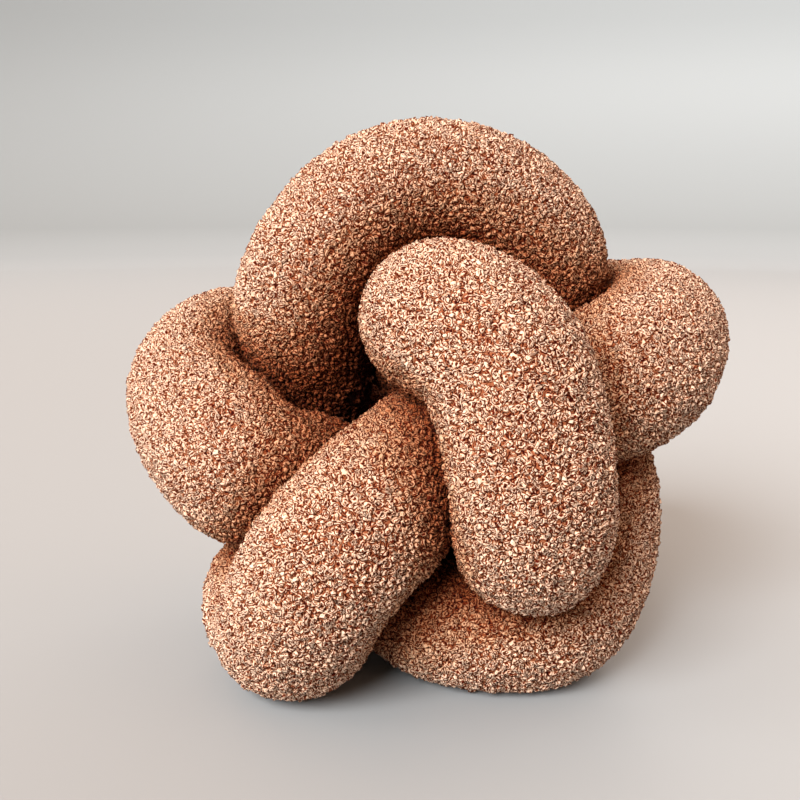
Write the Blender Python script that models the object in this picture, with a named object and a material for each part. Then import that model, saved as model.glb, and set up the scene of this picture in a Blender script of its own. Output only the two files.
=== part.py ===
"""Knot cushion: one stuffed tube of curly pile cloth, tied into a ball and closed on itself.

Metres, +Z up, the front towards -Y. The origin is on the floor, under the middle of the
cushion's box. The tube follows a closed route through the knot. The route is eased until its
strands lie against each other, and the skin is then pressed flat where two strands meet and
where the cushion stands on the floor.
"""

import math

import bpy
import numpy as np

MM = 0.001                  # the sizes below are in millimetres, the objects in metres

TUBE_RADIUS = 45.0          # the stuffed tube where nothing presses on it
RINGS = 228                 # cross-sections along the tube
SIDES = 24                  # points round each cross-section

STRAND_SQUEEZE = 0.85       # two strands lie this close, as a share of their two radii
FLOOR_SQUEEZE = 0.93        # the tube's middle stands this high, as a share of its radius
STRAND_GAP = 1.5            # air left between two strands that press on each other
NEIGHBOUR_REACH = 2.4       # nearer than this many radii along the tube is the same strand
BEND_REACH = 1.5            # nearer than this, only the tube's own bend limits its skin
BEND_SHARE = 0.82           # how far the inner side of a bend fills up to the bend's middle

EASING_ROUNDS = 300
BEND_STIFFNESS = 0.2        # how strongly the tube resists bending in each step
BEND_STEPS = 4              # bending steps in each round
SPACING_PULL = 0.3          # how strongly the points keep an even distance
ROUTE_PULL = 0.1            # how strongly the tube is drawn back to its route
CONTACT_PUSH = 0.35         # how strongly two strands push each other apart
LAST_BEND_STEPS = 6
SKIN_EASING_ROUNDS = 3      # rounds the edges of the pressed places

COLOUR = (0.50, 0.235, 0.135, 1.0)
ROUGHNESS = 0.95

# The route of the tube's middle line, strand by strand, all the way round.
# hold: how firmly the strand keeps to this place. girth: its share of the full radius.
ROUTE_COLUMNS = ("place", "across", "back", "up", "hold", "girth")
ROUTE = (
    ("front, top bend",               2,   -78,  212, 1.0, 1.00),
    ("front, shoulder",              27,  -104,  207, 1.0, 1.00),
    ("front, down",                  41,  -118,  183, 1.0, 1.00),
    ("front, down",                  46,  -124,  153, 1.0, 1.00),
    ("front, down",                  47,  -126,  127, 1.0, 1.00),
    ("front, low bend",              46,  -110,  105, 1.0, 0.97),
    ("inward, under the front",      46,   -75,   88, 0.4, 0.85),
    ("inward, low",                  43,   -32,   89, 0.3, 0.70),
    ("inward, to the back",          39,    19,   83, 0.3, 0.80),
    ("back, low right",              26,    62,   51, 0.3, 0.95),
    ("back, lowest",                -11,    92,   31, 0.4, 1.00),
    ("back, up left",               -55,   107,   84, 0.3, 1.00),
    ("back, behind the arch",       -85,   102,  141, 0.3, 1.00),
    ("left lobe, back",            -104,    70,  164, 0.6, 1.00),
    ("left lobe, back turn",       -119,    32,  157, 1.0, 1.00),
    ("left lobe, side",            -124,    -8,  144, 1.0, 1.03),
    ("left lobe, front turn",      -111,   -41,  130, 1.0, 1.05),
    ("left lobe, front",            -88,   -45,  112, 1.0, 1.04),
    ("under the lower strand",      -49,   -25,   78, 0.6, 1.00),
    ("low right, start",             -5,   -30,   46, 0.8, 1.00),
    ("low right, bottom",            24,   -53,   36, 1.0, 1.00),
    ("low right, bottom",            51,   -63,   38, 1.0, 1.00),
    ("low right, corner",            71,   -44,   51, 1.0, 1.00),
    ("low right, rise",              88,   -13,   73, 1.0, 1.00),
    ("low right, side",              94,    17,  106, 0.8, 1.00),
    ("behind the right lobe",        93,    40,  149, 0.5, 1.00),
    ("arch, right foot",             81,    42,  199, 0.6, 1.00),
    ("arch, right",                  65,    34,  239, 1.0, 1.00),
    ("arch, right top",              38,    24,  270, 1.0, 1.00),
    ("arch, top",                     2,    20,  278, 1.0, 1.00),
    ("arch, left top",              -32,    12,  269, 1.0, 1.00),
    ("arch, left",                  -59,     6,  242, 1.0, 1.00),
    ("arch, left",                  -75,     8,  204, 1.0, 1.00),
    ("arch, left foot",             -92,    36,  156, 1.0, 0.86),
    ("behind the left lobe",        -87,    49,   98, 0.5, 0.88),
    ("lower left, back",            -82,    29,   57, 0.7, 1.00),
    ("lower left, back bend",       -72,   -12,   31, 0.6, 1.00),
    ("lower left, floor bend",      -77,   -58,   31, 1.0, 1.00),
    ("lower strand, start",         -72,   -93,   63, 1.0, 1.00),
    ("lower strand",                -47,  -106,  100, 1.0, 1.00),
    ("lower strand",                -22,   -92,  119, 1.0, 1.00),
    ("lower strand, end",             4,   -67,  130, 1.0, 1.00),
    ("under the front strand",       45,   -36,  145, 0.8, 1.00),
    ("right lobe, start",            84,   -31,  166, 0.8, 1.00),
    ("right lobe, front",           106,   -34,  173, 1.0, 1.05),
    ("right lobe, front turn",      122,   -15,  179, 1.0, 1.05),
    ("right lobe, side",            130,    19,  188, 1.0, 1.00),
    ("right lobe, back turn",       131,    56,  191, 1.0, 1.00),
    ("right lobe, back",            109,    92,  185, 0.4, 1.00),
    ("back, upper",                  72,   119,  185, 0.3, 1.00),
    ("back, upper turn",             31,   106,  182, 0.3, 0.95),
    ("inward, upper",                 9,    62,  174, 0.3, 0.85),
    ("middle",                       11,    16,  184, 0.5, 0.82),
    ("outward, to the front",         9,   -38,  205, 0.8, 0.86),
)


def column(name):
    """One numeric column of the route."""
    index = ROUTE_COLUMNS.index(name)
    return np.array([row[index] for row in ROUTE], dtype=float)


def length_of(vectors):
    return np.sqrt((vectors ** 2).sum(axis=-1))


def along_route(values, place):
    """Values given at the route's rows, read at any place along the closed route."""
    rows = np.arange(len(values) + 1)
    closed = np.concatenate([values, values[:1]])
    if closed.ndim == 1:
        return np.interp(place, rows, closed)
    return np.stack([np.interp(place, rows, closed[:, k]) for k in range(closed.shape[1])], axis=1)


def first_curve(points):
    """A closed Catmull-Rom curve through the route, with RINGS evenly spaced points.

    Returns the points and each one's place along the route, in rows.
    """
    steps = 16
    before, after, beyond = np.roll(points, 1, 0), np.roll(points, -1, 0), np.roll(points, -2, 0)
    fine = []
    for t in np.arange(steps) / steps:
        fine.append(0.5 * (2.0 * points + (after - before) * t
                           + (2.0 * before - 5.0 * points + 4.0 * after - beyond) * t ** 2
                           + (3.0 * points - before - 3.0 * after + beyond) * t ** 3))
    fine = np.stack(fine, axis=1).reshape(-1, 3)
    place = np.arange(len(fine) + 1) / steps
    closed = np.vstack([fine, fine[:1]])
    run = np.concatenate([[0.0], np.cumsum(length_of(np.diff(closed, axis=0)))])
    wanted = np.arange(RINGS) * run[-1] / RINGS
    even = np.stack([np.interp(wanted, run, closed[:, k]) for k in range(3)], axis=1)
    return even, np.interp(wanted, run, place)


def rings_apart():
    """How many rings lie between each two rings, the shorter way round."""
    ring = np.arange(RINGS)
    apart = np.abs(ring[:, None] - ring[None, :])
    return np.minimum(apart, RINGS - apart)


def straighten(line):
    """One step of a tube's resistance to bending."""
    fourth = (np.roll(line, 2, 0) - 4.0 * np.roll(line, 1, 0) + 6.0 * line
              - 4.0 * np.roll(line, -1, 0) + np.roll(line, -2, 0))
    return line - 0.5 * BEND_STIFFNESS * fourth


def tangents(line):
    ahead = np.roll(line, -1, 0) - np.roll(line, 1, 0)
    return ahead / length_of(ahead)[:, None]


def eased_line(line, place):
    """Ease the tube's middle line until its strands lie against each other and on the floor."""
    targets = np.stack([column("across"), column("back"), column("up")], axis=1)
    hold = column("hold")
    girth = along_route(column("girth"), place)
    firmness = along_route(hold, place)
    rows = np.array([int(np.abs(place - row).argmin()) for row in range(len(ROUTE))])

    spacing = length_of(np.roll(line, -1, 0) - line).mean()
    other_strand = rings_apart() * spacing > NEIGHBOUR_REACH * TUBE_RADIUS
    touching = TUBE_RADIUS * STRAND_SQUEEZE * (girth[:, None] + girth[None, :])
    yielding = 2.0 * firmness[None, :] / (firmness[:, None] + firmness[None, :])
    lowest = TUBE_RADIUS * FLOOR_SQUEEZE

    for _ in range(EASING_ROUNDS):
        for _ in range(BEND_STEPS):
            line = straighten(line)
        middle = 0.5 * (np.roll(line, 1, 0) + np.roll(line, -1, 0)) - line
        ahead = tangents(line)
        line = line + SPACING_PULL * ahead * (middle * ahead).sum(axis=1)[:, None]
        line = line + ROUTE_PULL * along_route(hold[:, None] * (targets - line[rows]), place)

        between = line[:, None, :] - line[None, :, :]
        distance = length_of(between)
        overlap = np.where(other_strand, touching - distance, 0.0)
        push = np.where(overlap > 0.0, overlap / np.maximum(distance, 1e-6), 0.0)
        contacts = np.maximum((push > 0.0).sum(axis=1), 1)
        shift = (between * (push * yielding)[:, :, None]).sum(axis=1) / contacts[:, None]
        line = line + CONTACT_PUSH * shift
        line[:, 2] = np.maximum(line[:, 2], lowest)

    for _ in range(LAST_BEND_STEPS):
        line = straighten(line)
    return line


def spokes(line):
    """SIDES directions round each point of the line, without twist along the tube."""
    ahead = tangents(line)
    side = np.zeros_like(line)
    first = np.cross(ahead[0], (0.0, 0.0, 1.0))
    side[0] = first / length_of(first)
    for ring in range(1, RINGS):
        carried = side[ring - 1] - ahead[ring] * (side[ring - 1] * ahead[ring]).sum()
        side[ring] = carried / length_of(carried)

    # The frame comes round to its start turned by some angle, which is shared out evenly.
    carried = side[-1] - ahead[0] * (side[-1] * ahead[0]).sum()
    sine = (np.cross(carried, side[0]) * ahead[0]).sum()
    cosine = (carried * side[0]).sum()
    turn = (math.atan2(sine, cosine) * np.arange(RINGS) / RINGS)[:, None]
    upward = np.cross(ahead, side)
    side, upward = (side * np.cos(turn) + upward * np.sin(turn),
                    upward * np.cos(turn) - side * np.sin(turn))

    angle = (np.arange(SIDES) * math.tau / SIDES)[None, :, None]
    return side[:, None, :] * np.cos(angle) + upward[:, None, :] * np.sin(angle)


def skin_limits(line, directions, girth):
    """How far the skin may stand from the middle line along each spoke.

    A spoke ends halfway to any other ring's middle, which parts two strands along a flat
    place, keeps the inner side of a bend from folding through itself, and ends at the floor.
    """
    spacing = length_of(np.roll(line, -1, 0) - line).mean()
    apart = rings_apart()
    limits = np.empty((RINGS, SIDES))
    for ring in range(RINGS):
        to_other = line - line[ring]
        squared = (to_other ** 2).sum(axis=1)
        own_bend = apart[ring] * spacing <= BEND_REACH * TUBE_RADIUS
        gap = np.where(own_bend, 0.0, STRAND_GAP)
        lean = 2.0 * (gap + (directions[ring][:, None, :] * to_other[None, :, :]).sum(axis=2))
        meets = (lean > 1e-6) & (apart[ring] > 0)
        reach = np.where(meets, (squared - gap ** 2) / np.maximum(lean, 1e-6), np.inf)
        limits[ring] = np.where(own_bend, BEND_SHARE * reach, reach).min(axis=1)
    down = -directions[:, :, 2]
    to_floor = np.where(down > 1e-6, line[:, None, 2] / np.maximum(down, 1e-6), np.inf)
    limits = np.minimum(limits, to_floor)
    return np.minimum(limits, TUBE_RADIUS * girth[:, None])


def skin_reach(limits):
    """The limits with the edges of the pressed places rounded."""
    reach = limits
    for _ in range(SKIN_EASING_ROUNDS):
        around = 0.5 * (np.roll(reach, 1, 1) + np.roll(reach, -1, 1))
        along = 0.5 * (np.roll(reach, 1, 0) + np.roll(reach, -1, 0))
        reach = np.minimum(limits, 0.5 * reach + 0.25 * around + 0.25 * along)
    return reach


def tube_points():
    """The skin's points, ring by ring, in metres, with the origin under the box's middle."""
    route = np.stack([column("across"), column("back"), column("up")], axis=1)
    line, place = first_curve(route)
    line = eased_line(line, place)
    directions = spokes(line)
    girth = along_route(column("girth"), place)
    reach = skin_reach(skin_limits(line, directions, girth))
    points = line[:, None, :] + directions * reach[:, :, None]
    points[:, :, 2] = np.where(points[:, :, 2] < 1e-4, 0.0, points[:, :, 2])
    low = points.min(axis=(0, 1))
    high = points.max(axis=(0, 1))
    points[:, :, :2] -= 0.5 * (low[:2] + high[:2])
    return points * MM


def tube_faces():
    """Quads between neighbouring rings, all the way round the closed tube."""
    faces = []
    for ring in range(RINGS):
        following = (ring + 1) % RINGS
        for side in range(SIDES):
            beside = (side + 1) % SIDES
            faces.append((ring * SIDES + side, ring * SIDES + beside,
                          following * SIDES + beside, following * SIDES + side))
    return faces


def cloth_material():
    material = bpy.data.materials.new("curly_pile")
    material.use_nodes = True
    shader = material.node_tree.nodes["Principled BSDF"]
    shader.inputs["Base Color"].default_value = COLOUR
    shader.inputs["Roughness"].default_value = ROUGHNESS
    shader.inputs["Metallic"].default_value = 0.0
    return material


def make_tube():
    mesh = bpy.data.meshes.new("knot_tube")
    mesh.from_pydata(tube_points().reshape(-1, 3).tolist(), [], tube_faces())
    mesh.validate()
    mesh.shade_smooth()
    mesh.materials.append(cloth_material())
    tube = bpy.data.objects.new("knot_tube", mesh)
    bpy.context.scene.collection.objects.link(tube)
    return tube


def main():
    for item in list(bpy.data.objects):
        bpy.data.objects.remove(item, do_unlink=True)
    make_tube()


main()
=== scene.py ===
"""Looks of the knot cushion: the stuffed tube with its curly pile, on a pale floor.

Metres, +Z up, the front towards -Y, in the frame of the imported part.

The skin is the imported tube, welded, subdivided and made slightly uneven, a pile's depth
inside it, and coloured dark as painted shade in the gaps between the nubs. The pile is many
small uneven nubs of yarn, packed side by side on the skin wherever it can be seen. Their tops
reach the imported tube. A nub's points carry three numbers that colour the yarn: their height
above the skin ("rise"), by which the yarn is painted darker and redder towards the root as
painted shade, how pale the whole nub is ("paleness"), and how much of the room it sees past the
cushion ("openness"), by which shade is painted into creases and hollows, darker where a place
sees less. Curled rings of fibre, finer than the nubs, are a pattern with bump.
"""

import math

import bmesh
import bpy
import numpy as np
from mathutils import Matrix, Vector, bvhtree, kdtree, noise


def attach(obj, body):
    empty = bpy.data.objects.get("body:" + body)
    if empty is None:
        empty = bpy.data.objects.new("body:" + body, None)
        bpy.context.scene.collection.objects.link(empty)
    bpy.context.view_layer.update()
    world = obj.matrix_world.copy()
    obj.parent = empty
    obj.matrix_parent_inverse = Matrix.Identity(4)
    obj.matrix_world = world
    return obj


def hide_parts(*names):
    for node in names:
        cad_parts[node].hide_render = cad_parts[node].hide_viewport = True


MM = 0.001
NODE = "knot_tube"
SEED = 11

# Skin
WELD = 0.02 * MM
QUAD_ANGLE = 60.0               # degrees, up to which two triangles are joined into a quad
SKIN_LEVELS = 1
PILE_DEPTH = 2.1 * MM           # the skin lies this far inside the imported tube
PILE_OPENNESS = 0.10            # and less far where it's less open than this
SKIN_WAVE = 0.7 * MM            # how far the stuffing makes the skin swell and sink
SKIN_WAVE_LENGTH = 38.0 * MM
WAVE_FADE = 10.0 * MM           # below this height the swelling fades towards the floor

# Sight, which tells how open a place is
SIGHT_RAYS = 20
SIGHT_START = 0.8 * MM          # above the skin
SIGHT_LENGTH = 0.7              # longer than the cushion is wide
LEAST_ROOM = 1.2 * MM           # with less than this above its sight's start it's pressed shut
NEARLY_UP = 0.9                 # a share of +Z from which a direction counts as upright

# Pile: where the nubs stand
CANDIDATES = 900_000            # random places, thinned to an even spacing
LARGE_SPACING = (2.0 * MM, 3.1 * MM)        # between neighbouring nubs
SMALL_SPACING = (1.15 * MM, 1.7 * MM)
LARGE_SHARE = 0.55              # of the candidates
CURLED_SHARE = 0.5              # of the large nubs curl round a hollow
NUB_LIFT = 0.18 * MM            # how unevenly the nubs stand on the skin
LEAST_HEIGHT = 0.2 * MM         # of a nub's points above the floor
PIECE_TRIANGLES = 190_000       # in one piece of pile

# Nubs: rings of points from the skin upward, as shares of a nub's width and height
LARGE_SIDES = 5
SMALL_SIDES = 4
ROUND_RINGS = ((1.00, -0.20), (0.66, 0.70))
CURLED_RINGS = ((1.00, -0.20), (0.68, 0.92))
SMALL_RINGS = ((1.00, -0.20),)
ROUND_TOP = 1.0                 # how high the point in the middle is, as a share of the height
CURLED_TOP = -0.20
NUB_WIDTH = 0.84                # a nub's radius, as a share of its spacing
NUB_HEIGHT = 0.70               # and its height
NUB_TALLNESS = (0.75, 1.45)     # shortest and tallest nub, as a share of that height
NUB_STRETCH = 0.28              # how oval a nub is
NUB_LEAN = 0.20                 # how far its top leans, as a share of its radius
NUB_UNEVEN = 0.17               # how uneven its rings are in width
RISE_UNEVEN = 0.12              # and in height
NUB_DISC = 0.42                 # a nub's radius in its own square of the UV layout

# Paleness of a nub: its mean, how it drifts over the cushion, and how it varies
PALENESS = 0.58
PALENESS_DRIFT = 0.06
PALENESS_DRIFT_LENGTH = 30.0 * MM
PALENESS_UNEVEN = 0.10

# Colours, linear
WHITE = (1.0, 1.0, 1.0)
NUB_COLOURS = ((0.12, 0.025, 0.008), (0.54, 0.32, 0.19), (0.77, 0.570, 0.430))
# The skin's colour, dark as painted shade in the gaps between the nubs
GROUND_SHADE_COLOURS = ((0.36, 0.13, 0.06),) * 3
COLOUR_RISES = (0.06, 0.26, 0.60)       # heights on a nub at which it has its three colours, dark at the root as painted shade
# Factors of the yarn's colour, by paleness and by openness; the openness factor is painted shade,
# darker where less of the room is seen
PALENESS_TONES = ((0.0, (0.72, 0.60, 0.54)), (0.6, (0.97, 0.95, 0.94)), (1.0, WHITE))
PAINTED_SHADE_TONES = ((0.0, (0.08, 0.02, 0.01)), (0.25, (0.38, 0.145, 0.065)),
                (0.5, (0.60, 0.36, 0.235)), (0.75, (0.79, 0.645, 0.525)), (0.97, WHITE))

# Rings of fibre: 0 on the lines between them, 0.5 in the middle of a ring
CURL_SCALE = 230.0              # curls of fibre in a metre
CURL_RINGS = 3.5                # rings of fibre in a curl's width
CURL_BEND = 0.8                 # how far the rings are bent, as a share of a curl
CURL_BEND_SCALE = 1.5           # bends in a curl's width
CURL_BEND_DETAIL = 1.0
RING_MIDDLE = 0.5
NUB_LINE = 0.33                 # half the width of the dark lines between the rings
GROUND_LINE = 0.30
LINE_CORE = 0.10                # up to here a line is darkest
LINE_EDGE = 0.65                # and at this share of its width it has the edge's tone
LINE_TONE = (0.10, 0.008, 0.001)
LINE_EDGE_TONE = (0.56, 0.29, 0.16)
RING_DEPTH = 0.35 * MM          # of the bump

# Yarn's surface
YARN_ROUGHNESS = 0.75
YARN_SPECULAR = 0.06
SHEEN = 0.04
SHEEN_ROUGHNESS = 0.45
SHEEN_TINT = (1.0, 0.60, 0.40, 1.0)

# Camera
CAMERA_PLACE = (-0.0175, -0.7633, 0.2910)
CAMERA_PITCH = 80.0             # degrees from looking straight down
CAMERA_LENS = 58.5              # in millimetres, as is the sensor
CAMERA_SENSOR = 36.0
CAMERA_NEAR = 0.01              # nothing nearer than this is drawn

# Floor and wall, with their colours by height in metres
FLOOR_RADIUS = 4.0
WALL_HEIGHT = 0.9
WALL_BEND = 0.9 * WALL_HEIGHT   # radius of the bend between them
WALL_BEND_STEPS = 12
FLOOR_SIDES = 96
FLOOR_WELD = 0.01 * MM
FLOOR_ROUGHNESS = 0.6
FLOOR_TONES = ((0.0, (0.327, 0.354, 0.372)), (0.03, (0.275, 0.300, 0.315)),
               (0.11, (0.214, 0.235, 0.244)))

# Soft lights: name, the direction they shine from, strength, angle in degrees, colour
LIGHTS = (
    ("key", (-0.80, -0.38, 0.46), 1.1, 40.0, (1.0, 0.985, 0.965)),
    ("front", (-0.36, -0.78, 0.51), 5.9, 30.0, (1.0, 0.99, 0.98)),
    ("fill", (0.87, -0.24, 0.42), 0.1, 60.0, (1.0, 0.99, 0.98)),
    ("back", (0.45, 0.80, 0.40), 1.1, 50.0, (1.0, 0.985, 0.965)),
)
# Light from all sides, as from a warm room
WORLD_COLOUR = (1.0, 0.66, 0.46, 1.0)
WORLD_STRENGTH = 0.90


def smooth_noise(points, length, seed):
    """A slowly changing value from about -1 to 1 at each point."""
    shift = Vector((seed, 2.0 * seed, 3.0 * seed))
    return np.array([noise.noise(Vector(p) / length + shift) for p in points])


def mesh_arrays(mesh):
    """Vertices, their normals, and triangles as arrays."""
    mesh.calc_loop_triangles()
    points = np.zeros(len(mesh.vertices) * 3)
    mesh.vertices.foreach_get("co", points)
    normals = np.zeros(len(mesh.vertices) * 3)
    mesh.vertex_normals.foreach_get("vector", normals)
    triangles = np.zeros(len(mesh.loop_triangles) * 3, dtype=np.int32)
    mesh.loop_triangles.foreach_get("vertices", triangles)
    return points.reshape(-1, 3), normals.reshape(-1, 3), triangles.reshape(-1, 3)


def store(mesh, name, values):
    """Keeps one number for each of a mesh's points under the given name."""
    attribute = mesh.attributes.new(name, "FLOAT", "POINT")
    attribute.data.foreach_set("value", np.clip(values, 0.0, 1.0))


def link(name, data):
    """Puts a mesh, lamp or camera into the scene."""
    thing = bpy.data.objects.new(name, data)
    bpy.context.scene.collection.objects.link(thing)
    return thing


# Sight

def side_directions(upward):
    """Two directions along the skin at each place."""
    leaning = np.abs(upward[:, 2:3]) < NEARLY_UP
    helper = np.where(leaning, (0.0, 0.0, 1.0), (1.0, 0.0, 0.0))
    side = np.cross(helper, upward)
    side /= np.linalg.norm(side, axis=1)[:, None]
    return side, np.cross(upward, side)


def sight_directions():
    """Directions round +Z, closer together near it, as light on a flat place counts."""
    golden_angle = math.pi * (3.0 - math.sqrt(5.0))
    rays = []
    for index in range(SIGHT_RAYS):
        flat = math.sqrt((index + 0.5) / SIGHT_RAYS)
        angle = golden_angle * index
        rays.append((flat * math.cos(angle), flat * math.sin(angle), math.sqrt(1.0 - flat ** 2)))
    return rays


def openness(skin, place, upward):
    """The share of the room that each place sees past the cushion, 0 where pressed shut."""
    points, _, triangles = mesh_arrays(skin.data)
    tree = bvhtree.BVHTree.FromPolygons(points.tolist(), triangles.tolist())

    def is_blocked(origins, directions, length):
        return np.array([tree.ray_cast(Vector(origin), Vector(direction), length)[0] is not None
                         for origin, direction in zip(origins, directions)])

    side, across = side_directions(upward)
    start = place + upward * SIGHT_START
    clear = np.zeros(len(place))
    for ray in sight_directions():
        directions = side * ray[0] + across * ray[1] + upward * ray[2]
        clear += ~is_blocked(start, directions, SIGHT_LENGTH)
    return np.where(is_blocked(start, upward, LEAST_ROOM), 0.0, clear / SIGHT_RAYS)


# Skin

def smooth_tube(node):
    """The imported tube, welded and subdivided."""
    form = bmesh.new()
    form.from_mesh(node.data)
    bmesh.ops.remove_doubles(form, verts=form.verts, dist=WELD)
    bmesh.ops.join_triangles(form, faces=form.faces,
                             angle_face_threshold=math.radians(QUAD_ANGLE),
                             angle_shape_threshold=math.radians(QUAD_ANGLE))
    mesh = bpy.data.meshes.new("skin")
    form.to_mesh(mesh)
    form.free()
    skin = link("skin", mesh)
    finer = skin.modifiers.new("finer", "SUBSURF")
    finer.levels = finer.render_levels = SKIN_LEVELS
    evaluated = skin.evaluated_get(bpy.context.evaluated_depsgraph_get())
    smooth = bpy.data.meshes.new_from_object(evaluated)
    skin.modifiers.clear()
    skin.data = smooth
    return skin


def make_skin(node):
    """The tube's skin under the pile, slightly uneven, and in full size where it's pressed."""
    skin = smooth_tube(node)
    points, normals, _ = mesh_arrays(skin.data)
    open_share = openness(skin, points, normals)
    wave = SKIN_WAVE * smooth_noise(points, SKIN_WAVE_LENGTH, SEED)
    off_floor = np.clip(points[:, 2] / WAVE_FADE, 0.0, 1.0)
    pile_room = np.clip(open_share / PILE_OPENNESS, 0.0, 1.0)
    points += normals * (wave * off_floor - PILE_DEPTH * pile_room)[:, None]
    skin.data.vertices.foreach_set("co", points.ravel())
    store(skin.data, "openness", open_share)
    skin.data.update()
    skin.data.shade_smooth()
    skin.data.materials.clear()
    # The skin's dark colour is painted shade for the gaps between the nubs, darker still where it
    # is less open
    skin.data.materials.append(yarn_material("curly_pile_ground", GROUND_SHADE_COLOURS, GROUND_LINE))
    return skin


# Pile

def random_places(skin, count, chance):
    """Places spread evenly over the skin at random, with their normals."""
    points, normals, triangles = mesh_arrays(skin.data)
    corner = points[triangles]
    edges = corner[:, 1] - corner[:, 0], corner[:, 2] - corner[:, 0]
    area = np.linalg.norm(np.cross(*edges), axis=1)
    chosen = chance.choice(len(triangles), size=count, p=area / area.sum())
    a, b = chance.random(count), chance.random(count)
    over = a + b > 1.0
    a[over], b[over] = 1.0 - a[over], 1.0 - b[over]
    share = np.stack([1.0 - a - b, a, b], axis=1)[:, :, None]
    place = (corner[chosen] * share).sum(axis=1)
    upward = (normals[triangles[chosen]] * share).sum(axis=1)
    return place, upward / np.linalg.norm(upward, axis=1)[:, None]


def keep_apart(place, spacing):
    """Indices of places that keep their spacing from each other, the first places first."""
    tree = kdtree.KDTree(len(place))
    for index, point in enumerate(place):
        tree.insert(point, index)
    tree.balance()
    taken = np.zeros(len(place), dtype=bool)
    widest = spacing.max()
    kept = []
    for index in range(len(place)):
        if taken[index]:
            continue
        kept.append(index)
        own = spacing[index]
        for _, near, distance in tree.find_range(place[index], 0.5 * (own + widest)):
            if distance < 0.5 * (own + spacing[near]):
                taken[near] = True
    return np.array(kept)


def nub_places(skin, chance):
    """Where the nubs stand: places, upward directions, spacing and openness."""
    place, upward = random_places(skin, CANDIDATES, chance)
    large = chance.uniform(*LARGE_SPACING, CANDIDATES)
    small = chance.uniform(*SMALL_SPACING, CANDIDATES)
    spacing = np.where(np.arange(CANDIDATES) < LARGE_SHARE * CANDIDATES, large, small)
    kept = keep_apart(place, spacing)
    open_share = openness(skin, place[kept], upward[kept])
    seen = open_share > 0.0
    kept = kept[seen]
    return place[kept], upward[kept], spacing[kept], open_share[seen]


def nub_points(place, upward, spacing, sides, rings, top, chance):
    """Points of nubs, ring by ring from the skin and the top last, with their rise."""
    count = len(place)
    side, across = side_directions(upward)
    width = NUB_WIDTH * spacing
    tallness = NUB_HEIGHT * spacing * chance.uniform(*NUB_TALLNESS, count)
    turn = chance.uniform(0.0, math.tau, count)
    angle = turn[:, None] + np.arange(sides)[None, :] * math.tau / sides
    outward = (side[:, None, :] * np.cos(angle)[:, :, None]
               + across[:, None, :] * np.sin(angle)[:, :, None])
    longest = chance.uniform(0.0, math.tau, (count, 1))
    stretch = 1.0 + NUB_STRETCH * np.cos(2.0 * (angle - longest))
    levels = []
    for wide, high in rings:
        reach = width[:, None] * wide * stretch
        reach = reach * (1.0 + NUB_UNEVEN * chance.standard_normal((count, sides)))
        lift = tallness[:, None] * (high + RISE_UNEVEN * chance.standard_normal((count, sides)))
        levels.append(place[:, None, :] + outward * reach[:, :, None]
                      + upward[:, None, :] * lift[:, :, None])
    lean = NUB_LEAN * width[:, None] * chance.standard_normal((count, 2))
    peak = place + upward * (tallness * top)[:, None] + side * lean[:, :1] + across * lean[:, 1:]
    points = np.concatenate([*levels, peak[:, None, :]], axis=1)
    above = ((points - place[:, None, :]) * upward[:, None, :]).sum(axis=2)
    points[:, :, 2] = np.maximum(points[:, :, 2], LEAST_HEIGHT)
    return points, above / tallness[:, None]


def nub_triangles(sides, levels):
    """One nub's triangles, as vertex numbers."""
    triangles = []
    for ring in range(levels - 1):
        low, high = ring * sides, (ring + 1) * sides
        for side in range(sides):
            beside = (side + 1) % sides
            triangles.append((low + side, low + beside, high + beside))
            triangles.append((low + side, high + beside, high + side))
    last, top = (levels - 1) * sides, levels * sides
    for side in range(sides):
        triangles.append((last + side, last + (side + 1) % sides, top))
    return np.array(triangles)


def nub_layout(count, sides, levels):
    """UV places of every nub's points: each nub is a small disc in a square grid of them."""
    cells = math.ceil(math.sqrt(count))
    angle = np.arange(sides) * math.tau / sides
    circle = np.stack([np.cos(angle), np.sin(angle)], axis=1)
    circles = [circle * (1.0 - level / levels) for level in range(levels)]
    disc = np.concatenate([*circles, np.zeros((1, 2))])
    cell = np.stack([np.arange(count) % cells, np.arange(count) // cells], axis=1)
    return (cell[:, None, :] + 0.5 + NUB_DISC * disc[None, :, :]) / cells


def make_pile_piece(name, points, rise, paleness, open_share, sides, material):
    """One piece of pile from its nubs."""
    count, corners = points.shape[:2]
    levels = (corners - 1) // sides
    nub = nub_triangles(sides, levels)
    triangles = (np.arange(count)[:, None, None] * corners + nub[None, :, :]).reshape(-1, 3)
    mesh = bpy.data.meshes.new(name)
    mesh.vertices.add(count * corners)
    mesh.vertices.foreach_set("co", points.ravel())
    mesh.loops.add(triangles.size)
    mesh.loops.foreach_set("vertex_index", triangles.ravel())
    mesh.polygons.add(len(triangles))
    mesh.polygons.foreach_set("loop_start", np.arange(len(triangles)) * 3)
    mesh.update(calc_edges=True)
    mesh.shade_smooth()
    store(mesh, "rise", rise.ravel())
    store(mesh, "paleness", np.repeat(paleness, corners))
    store(mesh, "openness", np.repeat(open_share, corners))
    layout = mesh.uv_layers.new(name="OFBake")
    places = nub_layout(count, sides, levels).reshape(-1, 2)
    layout.data.foreach_set("uv", places[triangles.ravel()].ravel())
    mesh.materials.append(material)
    return link(name, mesh)


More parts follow.
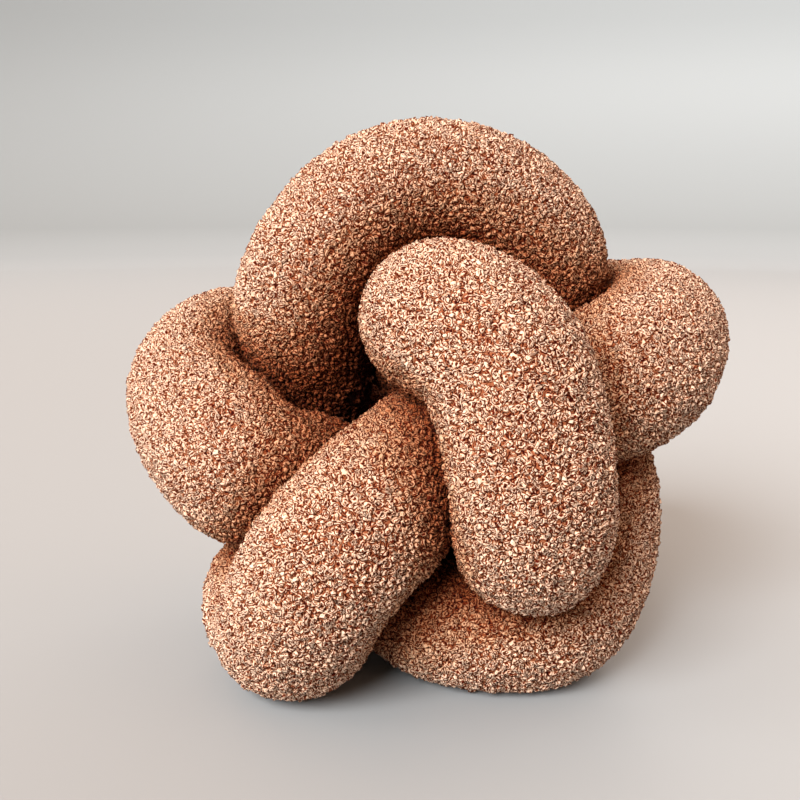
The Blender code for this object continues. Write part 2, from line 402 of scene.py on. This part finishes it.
def make_pile(skin):
    """The pile's pieces: round, curled and small nubs."""
    chance = np.random.default_rng(SEED)
    place, upward, spacing, open_share = nub_places(skin, chance)
    drift = smooth_noise(place, PALENESS_DRIFT_LENGTH, SEED + 1)
    place = place + upward * (NUB_LIFT * chance.standard_normal(len(place)))[:, None]
    large = spacing > SMALL_SPACING[1]
    curled = large & (chance.random(len(place)) < CURLED_SHARE)
    uneven = chance.standard_normal(len(place))
    paleness = PALENESS + PALENESS_DRIFT * drift + PALENESS_UNEVEN * uneven
    material = yarn_material("curly_pile_nubs", NUB_COLOURS, NUB_LINE)
    pieces = []
    for name, chosen, sides, rings, top in (
            ("pile_round", large & ~curled, LARGE_SIDES, ROUND_RINGS, ROUND_TOP),
            ("pile_curled", curled, LARGE_SIDES, CURLED_RINGS, CURLED_TOP),
            ("pile_small", ~large, SMALL_SIDES, SMALL_RINGS, ROUND_TOP)):
        points, rise = nub_points(place[chosen], upward[chosen], spacing[chosen],
                                  sides, rings, top, chance)
        most = PIECE_TRIANGLES // len(nub_triangles(sides, len(rings)))
        for number, first in enumerate(range(0, len(points), most), start=1):
            part = slice(first, first + most)
            pieces.append(make_pile_piece(
                f"{name}_{number}", points[part], rise[part], paleness[chosen][part],
                open_share[chosen][part], sides, material))
    return pieces


# Materials

def new_material(name):
    material = bpy.data.materials.new(name)
    material.use_nodes = True
    return material, material.node_tree.nodes, material.node_tree.links


def read_attribute(nodes, name):
    reader = nodes.new("ShaderNodeAttribute")
    reader.attribute_name = name
    return reader.outputs["Fac"]


def ramp(nodes, links, value, stops):
    """A colour for each value, from pairs of value and colour."""
    node = nodes.new("ShaderNodeValToRGB")
    elements = node.color_ramp.elements
    elements.remove(elements[-1])
    elements[0].position, elements[0].color = stops[0][0], (*stops[0][1], 1.0)
    for place, colour in stops[1:]:
        elements.new(place).color = (*colour, 1.0)
    links.new(value, node.inputs["Fac"])
    return node.outputs["Color"]


def multiply(nodes, links, first, second):
    """The product of two colours."""
    product = nodes.new("ShaderNodeMix")
    product.data_type = "RGBA"
    product.blend_type = "MULTIPLY"
    product.inputs["Factor"].default_value = 1.0
    links.new(first, product.inputs["A"])
    links.new(second, product.inputs["B"])
    return product.outputs["Result"]


def calculate(nodes, links, operation, value, amount):
    """The result of an operation on a value and a fixed amount."""
    node = nodes.new("ShaderNodeMath")
    node.operation = operation
    node.inputs[1].default_value = amount
    links.new(value, node.inputs[0])
    return node.outputs["Value"]


def fibre_curls(nodes, links):
    """Curls of fibre, ring round ring: 0 on the lines between the rings and 0.5 on the rings."""
    place = nodes.new("ShaderNodeTexCoord")
    bends = nodes.new("ShaderNodeTexNoise")
    bends.inputs["Scale"].default_value = CURL_BEND_SCALE * CURL_SCALE
    bends.inputs["Detail"].default_value = CURL_BEND_DETAIL
    links.new(place.outputs["Object"], bends.inputs["Vector"])
    bent = nodes.new("ShaderNodeVectorMath")
    bent.operation = "MULTIPLY_ADD"
    bent.inputs[1].default_value = (CURL_BEND / CURL_SCALE,) * 3
    links.new(bends.outputs["Color"], bent.inputs[0])
    links.new(place.outputs["Object"], bent.inputs[2])
    curls = nodes.new("ShaderNodeTexVoronoi")
    curls.feature = "F1"
    curls.inputs["Scale"].default_value = CURL_SCALE
    curls.inputs["Randomness"].default_value = 1.0
    links.new(bent.outputs["Vector"], curls.inputs["Vector"])
    turns = calculate(nodes, links, "MULTIPLY", curls.outputs["Distance"], CURL_RINGS)
    return calculate(nodes, links, "PINGPONG", turns, RING_MIDDLE)


def yarn_material(name, colours, line):
    """Yarn in three colours from root to top, darker at the root as painted shade, with dark lines
    between its rings of fibre and painted shade where it is less open.
    """
    material, nodes, links = new_material(name)
    rings = ramp(nodes, links, fibre_curls(nodes, links),
                 ((LINE_CORE, LINE_TONE), (LINE_EDGE * line, LINE_EDGE_TONE), (line, WHITE)))
    # Painted shade: darker and redder towards a nub's root
    tinted = ramp(nodes, links, read_attribute(nodes, "rise"), tuple(zip(COLOUR_RISES, colours)))
    for factor in (ramp(nodes, links, read_attribute(nodes, "paleness"), PALENESS_TONES),
                   rings,
                   # painted shade, darker where less of the room is seen
                   ramp(nodes, links, read_attribute(nodes, "openness"), PAINTED_SHADE_TONES)):
        tinted = multiply(nodes, links, tinted, factor)
    bump = nodes.new("ShaderNodeBump")
    bump.inputs["Strength"].default_value = 1.0
    bump.inputs["Distance"].default_value = RING_DEPTH
    links.new(rings, bump.inputs["Height"])
    shader = nodes["Principled BSDF"]
    links.new(tinted, shader.inputs["Base Color"])
    links.new(bump.outputs["Normal"], shader.inputs["Normal"])
    shader.inputs["Roughness"].default_value = YARN_ROUGHNESS
    shader.inputs["Sheen Weight"].default_value = SHEEN
    shader.inputs["Sheen Roughness"].default_value = SHEEN_ROUGHNESS
    shader.inputs["Sheen Tint"].default_value = SHEEN_TINT
    shader.inputs["Specular IOR Level"].default_value = YARN_SPECULAR
    return material


def floor_material():
    """Pale floor and wall, with a colour for each height, so that they look equally bright."""
    material, nodes, links = new_material("pale_floor")
    place = nodes.new("ShaderNodeTexCoord")
    parts = nodes.new("ShaderNodeSeparateXYZ")
    links.new(place.outputs["Object"], parts.inputs["Vector"])
    shader = nodes["Principled BSDF"]
    links.new(ramp(nodes, links, parts.outputs["Z"], FLOOR_TONES), shader.inputs["Base Color"])
    shader.inputs["Roughness"].default_value = FLOOR_ROUGHNESS
    return material


# The scene

def dress(piece):
    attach(piece, "root")


def make_cushion(node):
    skin = make_skin(node)
    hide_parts(NODE)
    dress(skin)
    for piece in make_pile(skin):
        dress(piece)


def make_floor():
    """A round floor whose rim curves up into a wall, far from the cushion on all sides."""
    rim = FLOOR_RADIUS - WALL_BEND
    outline = [(0.0, 0.0), (rim, 0.0)]
    for step in range(1, WALL_BEND_STEPS + 1):
        angle = math.radians(90.0 * step / WALL_BEND_STEPS)
        outline.append((rim + WALL_BEND * math.sin(angle), WALL_BEND - WALL_BEND * math.cos(angle)))
    outline.append((FLOOR_RADIUS, WALL_HEIGHT))
    form = bmesh.new()
    line = [form.verts.new((x, 0.0, z)) for x, z in outline]
    edges = [form.edges.new(pair) for pair in zip(line, line[1:])]
    bmesh.ops.spin(form, geom=line + edges, cent=(0, 0, 0), axis=(0, 0, 1),
                   angle=math.tau, steps=FLOOR_SIDES)
    bmesh.ops.remove_doubles(form, verts=form.verts, dist=FLOOR_WELD)
    bmesh.ops.recalc_face_normals(form, faces=form.faces)
    mesh = bpy.data.meshes.new("floor")
    form.to_mesh(mesh)
    form.free()
    mesh.shade_smooth()
    mesh.materials.append(floor_material())
    link("floor", mesh)


def make_lights():
    for name, place, strength, angle, colour in LIGHTS:
        lamp = bpy.data.lights.new(name, "SUN")
        lamp.energy = strength
        lamp.angle = math.radians(angle)
        lamp.color = colour
        light = link(name, lamp)
        light.location = place
        light.rotation_euler = (-Vector(place)).to_track_quat("-Z", "Y").to_euler()
    world = bpy.data.worlds.new("soft_room")
    world.use_nodes = True
    background = world.node_tree.nodes["Background"]
    background.inputs["Color"].default_value = WORLD_COLOUR
    background.inputs["Strength"].default_value = WORLD_STRENGTH
    bpy.context.scene.world = world


def make_camera():
    data = bpy.data.cameras.new("camera")
    data.lens = CAMERA_LENS
    data.sensor_width = CAMERA_SENSOR
    data.clip_start = CAMERA_NEAR
    camera = link("camera", data)
    camera.location = CAMERA_PLACE
    camera.rotation_euler = (math.radians(CAMERA_PITCH), 0.0, 0.0)
    bpy.context.scene.camera = camera


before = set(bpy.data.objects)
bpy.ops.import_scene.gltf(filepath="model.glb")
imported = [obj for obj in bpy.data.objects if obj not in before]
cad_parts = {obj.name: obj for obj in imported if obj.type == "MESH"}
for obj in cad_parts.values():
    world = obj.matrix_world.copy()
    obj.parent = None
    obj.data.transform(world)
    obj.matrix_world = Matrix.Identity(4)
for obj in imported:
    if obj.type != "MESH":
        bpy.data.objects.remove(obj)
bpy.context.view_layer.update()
make_camera()
make_cushion(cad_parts[NODE])
make_floor()
make_lights()
bpy.context.scene.view_settings.view_transform = "Standard"

bpy.context.view_layer.update()
